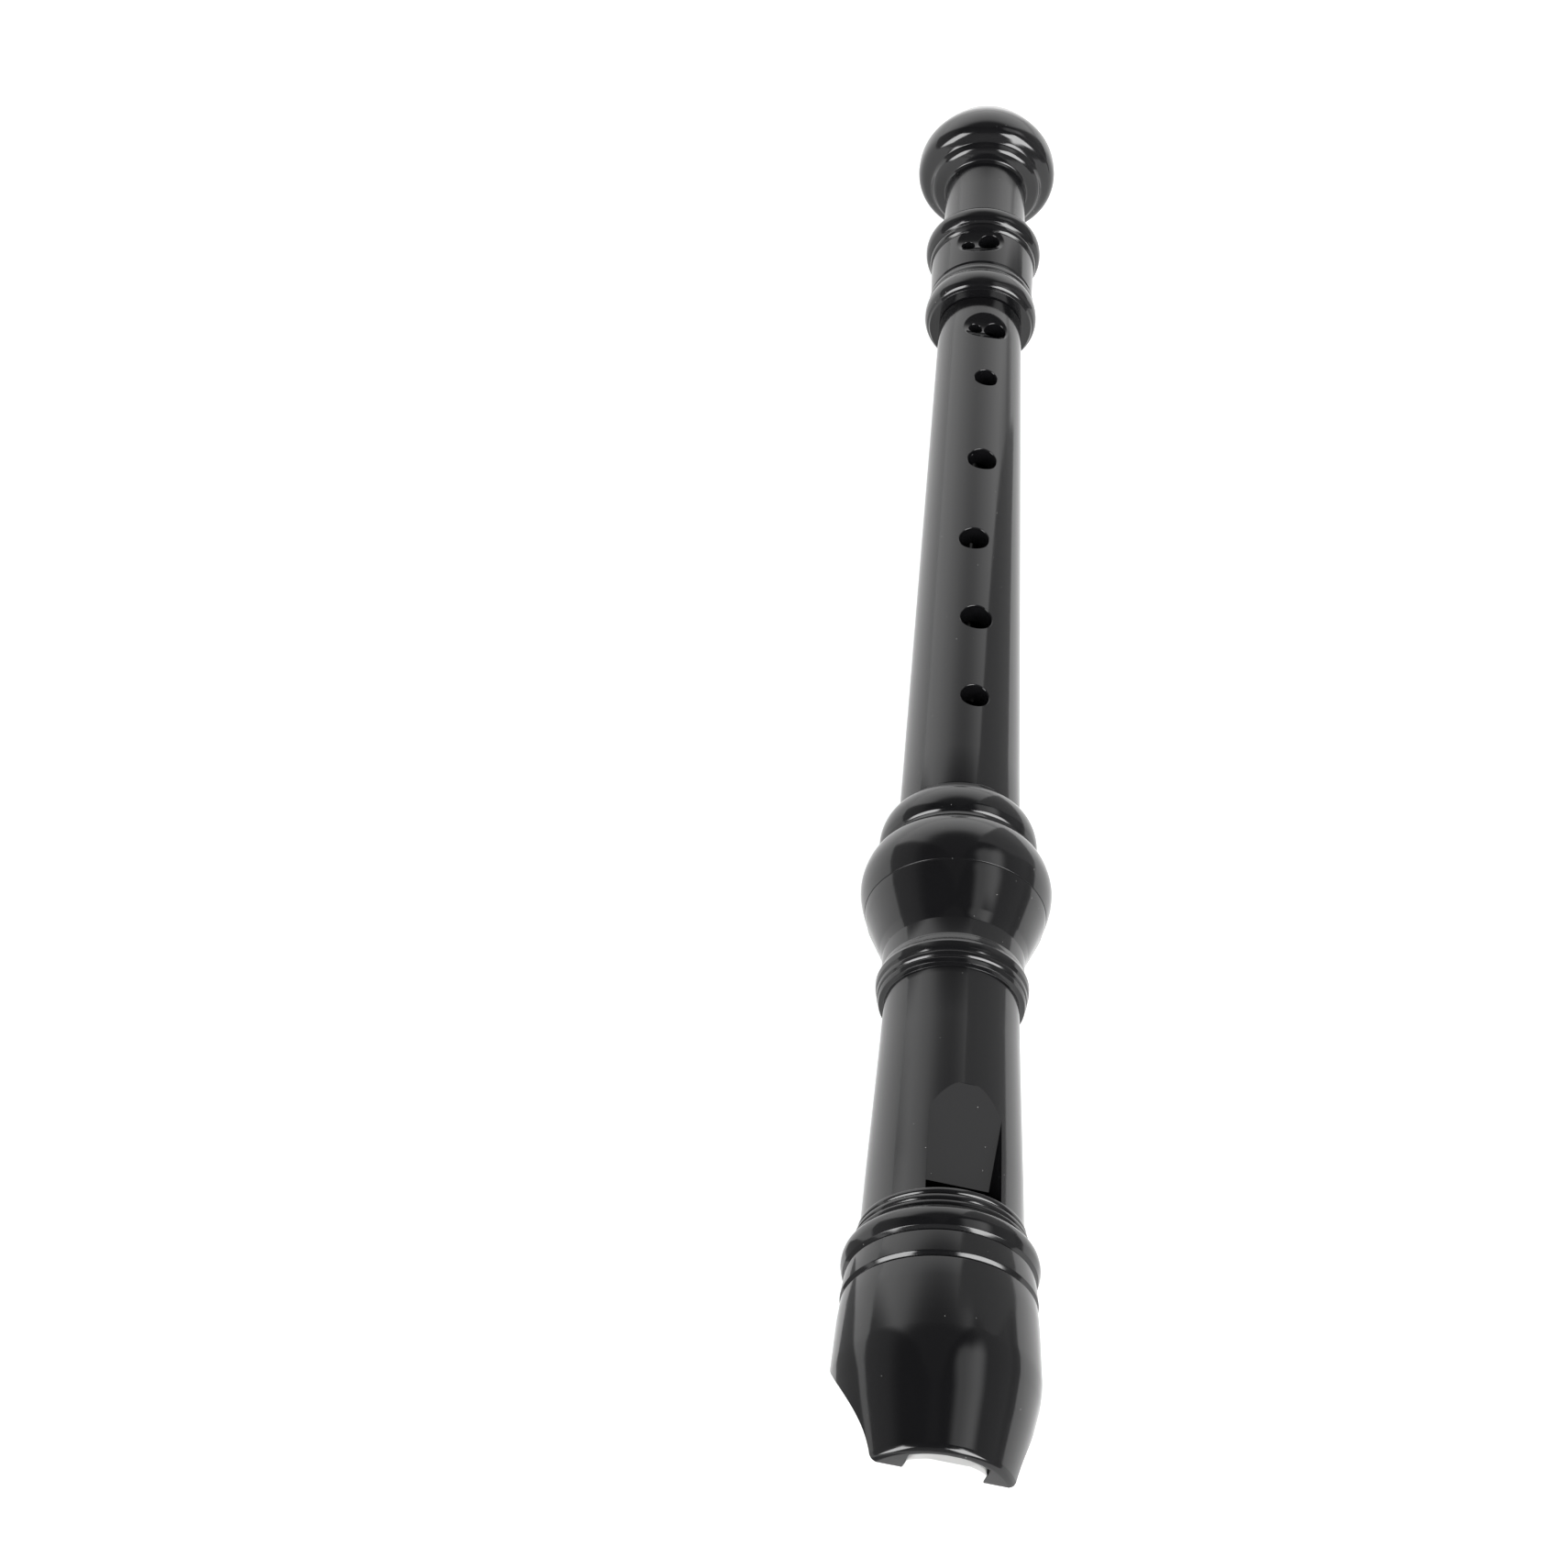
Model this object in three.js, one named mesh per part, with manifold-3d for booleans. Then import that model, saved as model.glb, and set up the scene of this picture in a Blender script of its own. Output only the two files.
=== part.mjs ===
// Soprano recorder in three joints (head, middle, foot), lying on its back with the tone holes up.
// Units are millimetres, +Z up. The bore axis is parallel to +Y, beak at -Y and foot at +Y.
// Lengths along the instrument are stations: distance from the tip of the beak.
import * as THREE from 'three';
import { mergeVertices } from 'three/addons/utils/BufferGeometryUtils.js';
import Module from 'manifold-3d';

const wasm = await Module();
wasm.setup();

// ---------------------------------------------------------------- driving dimensions
const LENGTH = 330;            // beak tip to bell end
const BULB_R = 16.75;          // largest radius, on which the head end rests
const SIDES = 32;              // facets round the bore axis, with a flat one underneath
const GAP = 0.3;               // clearance between neighbouring pieces

const HEAD_TURN = 6.3;         // degrees the window is turned from the tone-hole line
const FOOT_TURN = -13.2;       // degrees the foot's double hole is turned from that line

const BEAK_END = 38.0;         // station of the joint line between beak and barrel
const SPIGOT_START = 29.0;     // barrel spigot inside the beak
const SPIGOT_R = 11.0;
const SEAM = 113.6;            // station of the joint line round the bulb
const HEAD_END = 135.3;        // open end of the head socket
const FOOT_START = 270.4;      // open end of the foot socket

const HEAD_BORE_R = 6.6;
const SOCKET_R = 8.95;         // head socket
const TENON_R = 8.65;          // middle joint, head end
const TENON_START = 114.4;
const FOOT_SOCKET_R = 7.15;
const FOOT_TENON_R = 6.85;
const FOOT_TENON_END = 280.9;
const MID_BORE_R0 = 6.2;       // at the head end
const MID_BORE_R1 = 4.95;      // at the foot end

const BLOCK_END = 46.3;        // station of the inner face of the block
const BLOCK_R = 6.3;
const BLOCK_HALF_TIP = 6.3, BLOCK_HALF_END = 5.35;     // half width of the block's flat tongue
const FLOOR_TIP = 9.8, FLOOR_END = 7.25;               // windway floor above the axis
const ROOF_TIP = 11.7, ROOF_END = 8.45;                // windway roof above the axis
const ROOF_TIP_R = 11.7, BLOCK_TIP_R = 10.3;           // both are arched at the tip
const WINDOW_START = 47.2, LIP = 51.5;                 // window opening, along the instrument
const LIP_H = 8.0, LIP_HALF = 5.25, CHEEK_HALF = 6.3;  // labium edge
const RAMP_END = 68.7, RAMP_END_H = 12.42;             // top of the ramp

// single tone holes: station, diameter, angle round the tube (degrees)
const HOLES = [
  [157.3, 5.2, 1.3], [177.5, 5.9, 0], [198.6, 5.6, -5.9], [221.2, 5.6, 0.3], [245.4, 4.5, 1.4],
];
const THUMB = [149.5, 5.2, 180];
// double holes: scoop station, scoop half length, scoop depth, [offset, station, diameter] x 2
const SCOOP6 = { s: 261.6, a: 3.8, t: 1.3, holes: [[-2.95, 261.3, 2.7], [2.6, 261.3, 4.4]] };
const SCOOP7 = { s: 286.1, a: 3.9, t: 1.2, holes: [[-3.1, 285.3, 2.7], [2.2, 286.2, 4.3]] };

// ---------------------------------------------------------------- profiles: [station, radius]
const BEAK = [
  [0, 12.1], [0.4, 12.7], [1.1, 13.1], [2.2, 13.3], [4, 13.7], [6, 14.15], [8, 14.6], [10, 15.1], [12, 15.55],
  [14, 16.0], [16, 16.35], [18.5, 16.62], [21, 16.6], [24, 16.45], [28.5, 16.15], [32.6, 15.75], [33.1, 15.35],
  [33.7, 15.85], [37.7, 15.35],
];
const BARREL = [
  [BEAK_END, 15.0], [38.6, 15.7], [40.2, 16.05], [41.7, 15.8], [42.6, 15.15], [43.0, 14.5], [43.9, 14.4], [44.0, 14.1],
  [45.4, 14.05], [45.5, 13.75], [47.0, 13.65], [47.15, 13.35], [50.5, 13.26], [91.0, 11.62], [93.5, 11.62], [93.7, 12.5],
  [94.5, 12.7], [94.8, 12.55], [95.1, 12.85], [95.8, 12.9], [96.1, 12.75], [96.6, 13.1], [97.7, 13.2], [98.5, 12.9],
  [98.8, 12.65], [99.6, 12.5], [100.1, 12.3], [103.6, 12.3], [105.6, 12.8], [107.4, 13.6], [109.4, 14.5], [111.4, 15.25],
  [SEAM - 0.15, 15.8],
];
const COLLAR = [
  [SEAM + 0.15, 15.85], [115.4, 16.35], [117.2, 16.68], [119.2, BULB_R], [121.2, 16.4], [123.0, 15.75], [124.6, 14.8],
  [125.7, 13.75], [126.0, 13.35], [126.7, 13.25], [127.1, 13.6], [128.3, 13.95], [130.0, 13.95], [131.7, 13.55],
  [133.2, 12.8], [134.4, 11.8], [HEAD_END, 11.1],
];
const TUBE = [[HEAD_END + GAP, 10.8], [FOOT_START - GAP, 8.4]];
const FOOT = [
  [FOOT_START, 10.35], [271.0, 10.6], [271.3, 10.95], [272.2, 11.3], [273.5, 11.4], [274.8, 11.25], [275.9, 10.9],
  [276.4, 10.7], [277.1, 10.8], [277.7, 10.7], [278.0, 10.2], [278.9, 10.2], [279.3, 10.4], [288.6, 10.57],
  [288.8, 10.3], [289.2, 10.3], [289.5, 10.8], [290.2, 10.95], [290.9, 10.85], [291.2, 10.6], [291.5, 11.1], [292.3, 11.65], [293.7, 11.9], [294.9, 11.68], [295.8, 11.0],
  [296.2, 10.0], [296.6, 9.0], [297.6, 8.6], [303.0, 8.5], [313.9, 8.5], [314.5, 8.8], [314.8, 9.6],
  [315.1, 10.7], [315.6, 11.25], [316.3, 11.5], [316.8, 11.75], [317.1, 12.2], [317.6, 13.2], [318.4, 13.95], [319.5, 14.4], [321.2, 14.55],
  [324.0, 14.25], [326.4, 13.35], [328.4, 12.2], [329.4, 11.6], [LENGTH, 11.3],
];

// concave underside of the beak: [station, height above the axis], from the tip backwards
const UNDERSIDE = [
  [-2, 6.2], [0, 6.0], [2, 6.1], [4, 6.0], [6, 5.65], [8, 5.05], [10, 4.25], [12, 3.2], [14, 2.0], [16, 0.6],
  [18, -1.1], [20, -3.2], [22.5, -6.4], [25, -10.2], [27, -13.6], [28.5, -16.6], [29.6, -19],
];

// ---------------------------------------------------------------- solid helpers
const DEG = Math.PI / 180;

function solid(geometry) {
  const g = geometry.clone();
  g.deleteAttribute('normal');
  g.deleteAttribute('uv');
  const m = mergeVertices(g, 1e-4);
  const pos = Float32Array.from(m.attributes.position.array);
  const idx = m.index.array;
  const tris = [];
  for (let i = 0; i < idx.length; i += 3) {
    const [a, b, c] = [idx[i], idx[i + 1], idx[i + 2]];
    if (a !== b && b !== c && c !== a) tris.push(a, b, c);
  }
  let v = 0;
  const P = (i) => [pos[3 * i], pos[3 * i + 1], pos[3 * i + 2]];
  for (let i = 0; i < tris.length; i += 3) {
    const [A, B, C] = [P(tris[i]), P(tris[i + 1]), P(tris[i + 2])];
    v += A[0] * (B[1] * C[2] - B[2] * C[1]) - A[1] * (B[0] * C[2] - B[2] * C[0]) + A[2] * (B[0] * C[1] - B[1] * C[0]);
  }
  if (v < 0) for (let i = 0; i < tris.length; i += 3) [tris[i + 1], tris[i + 2]] = [tris[i + 2], tris[i + 1]];
  return new wasm.Manifold(new wasm.Mesh({ numProp: 3, vertProperties: pos, triVerts: Uint32Array.from(tris) }));
}

// closed loop of [station, radius] turned round the axis; a flat facet faces down
function turned(loop, sides = SIDES) {
  const pts = loop.map(([s, r]) => new THREE.Vector2(r, s));
  pts.push(pts[0].clone());
  return solid(new THREE.LatheGeometry(pts, sides, Math.PI / sides));
}
// plug along the axis
const rod = (s0, s1, r, sides = SIDES) => turned([[s0, 0], [s0, r], [s1, r], [s1, 0]], sides);
// side outline [station, height], pushed out to +-half across the instrument
function sidePrism(outline, half) {
  const sh = new THREE.Shape(outline.map(([s, z]) => new THREE.Vector2(s, z)));
  const g = new THREE.ExtrudeGeometry(sh, { depth: 2 * half, bevelEnabled: false });
  g.translate(0, 0, -half);
  g.applyMatrix4(new THREE.Matrix4().makeBasis(new THREE.Vector3(0, 1, 0), new THREE.Vector3(0, 0, 1), new THREE.Vector3(1, 0, 0)));
  return solid(g);
}
// cross-section outline [across, height], drawn out between two stations
function endPrism(outline, s0, s1) {
  const sh = new THREE.Shape(outline.map(([x, z]) => new THREE.Vector2(x, z)));
  const g = new THREE.ExtrudeGeometry(sh, { depth: s1 - s0, bevelEnabled: false });
  g.rotateX(Math.PI / 2);
  g.translate(0, s1, 0);
  return solid(g);
}
// plan outline [across, station], pushed up between two heights
function planPrism(outline, z0, z1) {
  const sh = new THREE.Shape(outline.map(([x, s]) => new THREE.Vector2(x, s)));
  const g = new THREE.ExtrudeGeometry(sh, { depth: z1 - z0, bevelEnabled: false });
  g.translate(0, 0, z0);
  return solid(g);
}
// tone-hole cutter: upright cylinder at an offset from the axis, turned round the axis
function holeCutter(s, d, angle, offset = 0, sides = 24) {
  const g = new THREE.CylinderGeometry(d / 2, d / 2, 22, sides, 1);
  g.rotateX(Math.PI / 2);
  g.translate(offset, s, 11.5);
  g.rotateY(angle * DEG);
  return solid(g);
}
// shallow scoop across the tube, cut by a cylinder lying across it
function scoopCutter({ s, a, t }, r) {
  const rho = (a * a + t * t) / (2 * t);
  const g = new THREE.CylinderGeometry(rho, rho, 30, 40, 1);
  g.rotateZ(Math.PI / 2);
  g.translate(0, s, r - t + rho);
  return solid(g);
}
const turn = (m, deg) => m.rotate([0, deg, 0]);

// ---------------------------------------------------------------- head: beak, block, barrel, socket collar
const planTaper = (extra, s0, s1) => {
  const half = (s) => BLOCK_HALF_TIP + (BLOCK_HALF_END - BLOCK_HALF_TIP) * (s / BLOCK_END) + extra;
  return [[-half(s0), s0], [half(s0), s0], [half(s1), s1], [-half(s1), s1]];
};
const floorAt = (s) => FLOOR_TIP + (FLOOR_END - FLOOR_TIP) * (s / BLOCK_END);
const roofAt = (s) => ROOF_TIP + (ROOF_END - ROOF_TIP) * (s / WINDOW_START);

const undersideCut = sidePrism([...UNDERSIDE, [29.6, -25], [-6, -25], [-6, 6.2]], 25);
// block channel and windway in one passage, from the tip to the window
const passage = planPrism(planTaper(GAP, -3, WINDOW_START), 0, 20)
  .intersect(sidePrism([[-3, 0], [WINDOW_START, 0], [WINDOW_START, roofAt(WINDOW_START)], [-3, roofAt(-3)]], 12))
  .intersect(turned([[-3, 0], [-3, ROOF_TIP_R], [0, ROOF_TIP_R], [6, ROOF_TIP_R + 1.5], [WINDOW_START, 16], [WINDOW_START, 0]], 64))
  .add(rod(-3, 60, HEAD_BORE_R));

const beak = turned([[0, 0], ...BEAK, [37.7, 0]])
  .subtract(rod(SPIGOT_START - GAP, 40, SPIGOT_R + GAP))
  .subtract(turn(passage.add(undersideCut), HEAD_TURN));

const block = planPrism(planTaper(0, 0, BLOCK_END), 0, 20)
  .intersect(sidePrism([[0, 0], [BLOCK_END, 0], [BLOCK_END, FLOOR_END], [0, floorAt(0)]], 12))
  .intersect(turned([[0, 0], [0, BLOCK_TIP_R], [6, BLOCK_TIP_R + 1.6], [BLOCK_END, 14], [BLOCK_END, 0]], 64))
  .add(rod(0, BLOCK_END, BLOCK_R, 32))
  .subtract(undersideCut);

const window = endPrism([[-LIP_HALF, 2], [LIP_HALF, 2], [LIP_HALF, LIP_H], [CHEEK_HALF, 11.6], [CHEEK_HALF + 0.4, 16], [-CHEEK_HALF - 0.4, 16], [-CHEEK_HALF, 11.6], [-LIP_HALF, LIP_H]], WINDOW_START, RAMP_END + 1)
  .intersect(sidePrism([[WINDOW_START, 2], [LIP + 5, 6.0], [LIP, LIP_H - 0.2], [LIP, LIP_H], [RAMP_END, RAMP_END_H], [RAMP_END, 16], [WINDOW_START, 16]], 9));

const barrelInside = [
  [SEAM - 0.15, 13.6], [111, 13.0], [108.5, 12.1], [106.3, 11.1], [105, 10.6], [SEAM - 0.15, 10.6], [SEAM - 0.15, HEAD_BORE_R], [SPIGOT_START, HEAD_BORE_R],
];
const barrel = turned([[SPIGOT_START, SPIGOT_R], [BEAK_END, SPIGOT_R], ...BARREL, ...barrelInside])
  .subtract(turn(passage.add(window), HEAD_TURN));

const collar = turned([
  ...COLLAR, [HEAD_END, SOCKET_R], [SEAM + 0.15, SOCKET_R], [SEAM + 0.15, 10.6], [120.5, 10.6], [122.4, 11.4], [122.4, 13.0], [120.8, 14.1],
  [118.6, 14.5], [116, 14.2], [SEAM + 0.15, 13.6],
]);

// ---------------------------------------------------------------- middle joint
const tubeR = (s) => TUBE[0][1] + (TUBE[1][1] - TUBE[0][1]) * (s - TUBE[0][0]) / (TUBE[1][0] - TUBE[0][0]);
const middleTenon = [
  [TENON_START, TENON_R - 0.5], [TENON_START + 0.8, TENON_R], [119.5, TENON_R], [119.8, TENON_R - 0.35], [122.2, TENON_R - 0.35], [122.5, TENON_R],
  [126.5, TENON_R], [126.8, TENON_R - 0.35], [129.2, TENON_R - 0.35], [129.5, TENON_R], [TUBE[0][0], TENON_R],
];
let middle = turned([
  ...middleTenon, ...TUBE, [TUBE[1][0], FOOT_TENON_R], [FOOT_TENON_END - 0.6, FOOT_TENON_R], [FOOT_TENON_END, FOOT_TENON_R - 0.4],
  [FOOT_TENON_END, MID_BORE_R1], [TENON_START, MID_BORE_R0],
]);
for (const [s, d, a] of [...HOLES, THUMB]) middle = middle.subtract(holeCutter(s, d, a));
middle = middle.subtract(scoopCutter(SCOOP6, tubeR(SCOOP6.s)));
for (const [x, s, d] of SCOOP6.holes) middle = middle.subtract(holeCutter(s, d, 0, x * 0.72, 20));

// ---------------------------------------------------------------- foot joint
let foot = turned([
  ...FOOT, [LENGTH, 9.7], [327.5, 9.1], [322, 7.2], [318, 6.0], [312, 5.2], [300, 4.7], [281.3, 4.95], [281.3, FOOT_SOCKET_R], [FOOT_START, FOOT_SOCKET_R],
]);
foot = foot.subtract(turn(scoopCutter(SCOOP7, 10.5), FOOT_TURN));
for (const [x, s, d] of SCOOP7.holes) foot = foot.subtract(turn(holeCutter(s, d, 0, x * 0.8, 20), FOOT_TURN));

// ---------------------------------------------------------------- assembly
const black = () => new THREE.MeshStandardMaterial({ color: 0x151515, roughness: 0.22, metalness: 0 });
const white = () => new THREE.MeshStandardMaterial({ color: 0xe9e9e6, roughness: 0.32, metalness: 0 });

function mesh(name, manifold, material) {
  const m = manifold.getMesh();
  const g = new THREE.BufferGeometry();
  const n = m.numProp, verts = new Float32Array((m.vertProperties.length / n) * 3);
  for (let i = 0; i < verts.length / 3; i++) for (let k = 0; k < 3; k++) verts[3 * i + k] = m.vertProperties[n * i + k];
  g.setAttribute('position', new THREE.BufferAttribute(verts, 3));
  g.setIndex(new THREE.BufferAttribute(Uint32Array.from(m.triVerts), 1));
  g.computeVertexNormals();
  const out = new THREE.Mesh(g, material);
  out.name = name;
  return out;
}

const head = new THREE.Group();
head.add(mesh('beak', beak, black()), mesh('windway_block', turn(block, HEAD_TURN), white()), mesh('head_barrel', barrel, black()), mesh('socket_collar', collar, black()));
const middleGroup = new THREE.Group();
middleGroup.add(mesh('middle_joint', middle, black()));
const footGroup = new THREE.Group();
footGroup.add(mesh('foot_joint', foot, black()));

const recorder = new THREE.Group();
recorder.add(head, middleGroup, footGroup);
recorder.position.set(0, -LENGTH / 2, BULB_R * Math.cos(Math.PI / SIDES));

export default recorder;
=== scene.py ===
import bpy, bmesh, math
import numpy as np
from mathutils import Matrix, Vector


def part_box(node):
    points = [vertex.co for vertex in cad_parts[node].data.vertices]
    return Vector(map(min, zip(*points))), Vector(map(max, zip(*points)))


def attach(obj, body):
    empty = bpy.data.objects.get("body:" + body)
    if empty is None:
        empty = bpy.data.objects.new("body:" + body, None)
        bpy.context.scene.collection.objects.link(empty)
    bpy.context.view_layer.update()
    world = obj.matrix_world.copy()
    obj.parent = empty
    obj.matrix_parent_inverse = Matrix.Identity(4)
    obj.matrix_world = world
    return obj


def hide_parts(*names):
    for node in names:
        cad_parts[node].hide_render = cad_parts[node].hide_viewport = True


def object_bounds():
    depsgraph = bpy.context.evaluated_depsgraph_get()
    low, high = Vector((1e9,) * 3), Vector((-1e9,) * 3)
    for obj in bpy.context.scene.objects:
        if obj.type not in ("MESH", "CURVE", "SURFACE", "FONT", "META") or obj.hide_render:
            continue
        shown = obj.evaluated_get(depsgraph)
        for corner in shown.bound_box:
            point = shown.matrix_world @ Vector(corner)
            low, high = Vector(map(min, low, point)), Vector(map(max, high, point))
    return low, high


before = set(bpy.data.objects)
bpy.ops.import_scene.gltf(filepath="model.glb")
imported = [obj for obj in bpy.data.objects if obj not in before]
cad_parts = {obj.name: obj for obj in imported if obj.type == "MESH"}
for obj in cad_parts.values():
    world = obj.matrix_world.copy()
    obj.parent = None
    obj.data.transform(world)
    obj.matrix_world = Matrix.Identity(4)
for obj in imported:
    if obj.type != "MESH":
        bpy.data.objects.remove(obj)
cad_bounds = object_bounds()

MM = 0.001
lo, hi = [list(v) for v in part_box("middle_joint")]
AX, AZ = (lo[0] + hi[0]) / 2, (lo[2] + hi[2]) / 2          # the bore axis
Y0 = min(cad_bounds[0][1], cad_bounds[1][1])               # the tip of the beak

# ---------------------------------------------------------------- sizes, mm (stations are from the tip)
LENGTH = 330.0
HEAD_TURN, FOOT_TURN = 6.3, -13.2
BEAK_END, SPIGOT_START, SPIGOT_R = 38.0, 29.0, 11.0
SEAM, HEAD_END, FOOT_START = 113.6, 135.3, 270.4
HEAD_BORE_R, SOCKET_R, TENON_R, TENON_START = 6.6, 8.95, 8.65, 114.4
FOOT_SOCKET_R, FOOT_TENON_R, FOOT_TENON_END = 7.15, 6.85, 280.9
MID_BORE_R0, MID_BORE_R1 = 6.2, 4.95
BLOCK_END, BLOCK_R, BLOCK_HALF_TIP, BLOCK_HALF_END = 46.3, 6.3, 6.3, 5.35
FLOOR_TIP, FLOOR_END, ROOF_TIP, ROOF_END = 9.8, 7.25, 11.7, 8.45
ROOF_TIP_R, BLOCK_TIP_R = 11.75, 10.3
WINDOW_START, LIP, LIP_H, LIP_HALF, CHEEK_HALF = 47.2, 51.5, 8.0, 5.25, 6.3
RAMP_END, RAMP_END_H = 68.7, 12.42
GAP = 0.12
HOLES = [(157.3, 5.2, 1.3), (177.5, 5.9, 0), (198.6, 5.6, -5.9), (221.2, 5.6, 0.3), (245.4, 4.5, 1.4)]
THUMB = (149.5, 5.2, 180)
SCOOP6 = dict(s=261.6, a=3.8, t=1.3, holes=[(-2.95, 261.3, 2.7), (2.6, 261.3, 4.4)])
SCOOP7 = dict(s=286.1, a=3.9, t=1.2, holes=[(-3.1, 285.3, 2.7), (2.2, 286.2, 4.3)])

BEAK = [
    (0, 12.1), (0.4, 12.7), (1.1, 13.1), (2.2, 13.3), (4, 13.7), (6, 14.15), (8, 14.6), (10, 15.1), (12, 15.55),
    (14, 16.0), (16, 16.35), (18.5, 16.62), (21, 16.6), (24, 16.45), (28.5, 16.15), (32.6, 15.75), (33.1, 15.35), (33.7, 15.85), (37.85, 15.35),
]
BARREL = [
    (BEAK_END, 15.0), (38.6, 15.7), (40.2, 16.05), (41.7, 15.8), (42.6, 15.15), (43.0, 14.6), (43.2, 14.3), (43.5, 14.45), (43.95, 14.45),
    (44.2, 14.3), (44.35, 13.95), (44.6, 13.95), (44.85, 14.12), (45.3, 14.1), (45.6, 13.95), (45.75, 13.55), (46.0, 13.55), (46.25, 13.75),
    (46.7, 13.75), (47.0, 13.65), (47.15, 13.32), (50.5, 13.26), (91.0, 11.62), (93.5, 11.62), (93.7, 12.5),
    (94.5, 12.7), (94.8, 12.55), (95.1, 12.85), (95.8, 12.9), (96.1, 12.75), (96.6, 13.1), (97.7, 13.2), (98.5, 12.9),
    (98.8, 12.65), (99.6, 12.5), (100.1, 12.3), (103.6, 12.3), (105.6, 12.8), (107.4, 13.6), (109.4, 14.5), (111.4, 15.25),
    (SEAM - 0.04, 15.8),
]
COLLAR = [
    (SEAM + 0.04, 15.85), (115.4, 16.35), (117.2, 16.68), (119.2, 16.75), (121.2, 16.4), (123.0, 15.75), (124.6, 14.8),
    (125.7, 13.75), (126.0, 13.35), (126.7, 13.25), (127.1, 13.6), (128.3, 13.95), (130.0, 13.95), (131.7, 13.55),
    (133.2, 12.8), (134.4, 11.8), (HEAD_END, 11.1),
]
TUBE = [(HEAD_END + 0.3, 10.8), (FOOT_START - 0.3, 8.4)]
FOOT = [
    (FOOT_START, 10.35), (271.0, 10.6), (271.3, 10.95), (272.2, 11.3), (273.5, 11.4), (274.8, 11.25), (275.9, 10.9),
    (276.4, 10.7), (277.1, 10.8), (277.7, 10.7), (278.0, 10.2), (278.9, 10.2), (279.3, 10.4), (288.6, 10.57),
    (288.8, 10.3), (289.2, 10.3), (289.5, 10.8), (290.2, 10.95), (290.9, 10.85), (291.2, 10.6), (291.5, 11.1), (292.3, 11.65), (293.7, 11.9), (294.9, 11.68), (295.8, 11.0),
    (296.2, 10.0), (296.6, 9.0), (297.6, 8.6), (303.0, 8.5), (313.9, 8.5), (314.5, 8.8), (314.8, 9.6),
    (315.1, 10.7), (315.6, 11.25), (316.3, 11.5), (316.8, 11.75), (317.1, 12.2), (317.6, 13.2), (318.4, 13.95), (319.5, 14.4), (321.2, 14.55),
    (324.0, 14.25), (326.4, 13.35), (328.4, 12.2), (329.4, 11.6), (LENGTH, 11.3),
]
UNDERSIDE = [
    (-2, 6.2), (0, 6.0), (2, 6.1), (4, 6.0), (6, 5.65), (8, 5.05), (10, 4.25), (12, 3.2), (14, 2.0),
    (16, 0.6), (18, -1.1), (20, -3.2), (22.5, -6.4), (25, -10.2), (27, -13.6), (28.5, -16.6), (29.6, -19),
]

# ---------------------------------------------------------------- profile and mesh tools
def spline(points, step=0.25):
    """A smooth curve through the points (centripetal Catmull-Rom), as dense points."""
    p = [np.array(q, float) for q in points]
    p = [2 * p[0] - p[1]] + p + [2 * p[-1] - p[-2]]
    out = []
    for i in range(1, len(p) - 2):
        p0, p1, p2, p3 = p[i - 1:i + 3]
        t0 = 0.0
        t1 = t0 + np.linalg.norm(p1 - p0) ** 0.5
        t2 = t1 + np.linalg.norm(p2 - p1) ** 0.5
        t3 = t2 + np.linalg.norm(p3 - p2) ** 0.5
        n = max(2, int(np.linalg.norm(p2 - p1) / step) + 1)
        for t in np.linspace(t1, t2, n, endpoint=False):
            a1 = (t1 - t) / (t1 - t0) * p0 + (t - t0) / (t1 - t0) * p1
            a2 = (t2 - t) / (t2 - t1) * p1 + (t - t1) / (t2 - t1) * p2
            a3 = (t3 - t) / (t3 - t2) * p2 + (t - t2) / (t3 - t2) * p3
            b1 = (t2 - t) / (t2 - t0) * a1 + (t - t0) / (t2 - t0) * a2
            b2 = (t3 - t) / (t3 - t1) * a2 + (t - t1) / (t3 - t1) * a3
            out.append((t2 - t) / (t2 - t1) * b1 + (t - t1) / (t2 - t1) * b2)
    out.append(p[-2])
    return [tuple(q) for q in out]


def fine(loop, soft=0.12, step=0.02):
    """Closed loop of (station, radius): corners rounded by about soft mm; returns points and outward normals."""
    P = np.array(loop + [loop[0]], float)
    seg = np.linalg.norm(np.diff(P, axis=0), axis=1)
    keep = np.concatenate([[True], seg > 1e-9])
    P = P[keep]
    seg = np.linalg.norm(np.diff(P, axis=0), axis=1)
    acc = np.concatenate([[0], np.cumsum(seg)])
    n = int(acc[-1] / step)
    t = np.arange(n) * acc[-1] / n
    D = np.stack([np.interp(t, acc, P[:, 0]), np.interp(t, acc, P[:, 1])], 1)
    w = max(1, int(round(soft / step)))
    ker = np.convolve(np.ones(2 * w + 1), np.ones(2 * w + 1)); ker /= ker.sum()
    h = len(ker) // 2
    D = np.stack([np.convolve(np.concatenate([D[-h:, k], D[:, k], D[:h, k]]), ker, "valid") for k in (0, 1)], 1)
    T = np.roll(D, -1, 0) - np.roll(D, 1, 0)
    T /= np.linalg.norm(T, axis=1)[:, None] + 1e-12
    area = 0.5 * np.sum(D[:, 0] * np.roll(D[:, 1], -1) - D[:, 1] * np.roll(D[:, 0], -1))
    N = np.stack([T[:, 1], -T[:, 0]], 1) * (1 if area > 0 else -1)
    idx, last = [0], 0
    for i in range(1, len(D)):
        turn_ = N[i] @ N[last]
        if turn_ < math.cos(math.radians(5.0)) or np.linalg.norm(D[i] - D[last]) > 9.0:
            j = i if np.linalg.norm(D[i] - D[last]) < 0.05 or i - 1 == last else i - 1
            idx.append(j); last = j
    return D[idx], N[idx]


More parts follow.
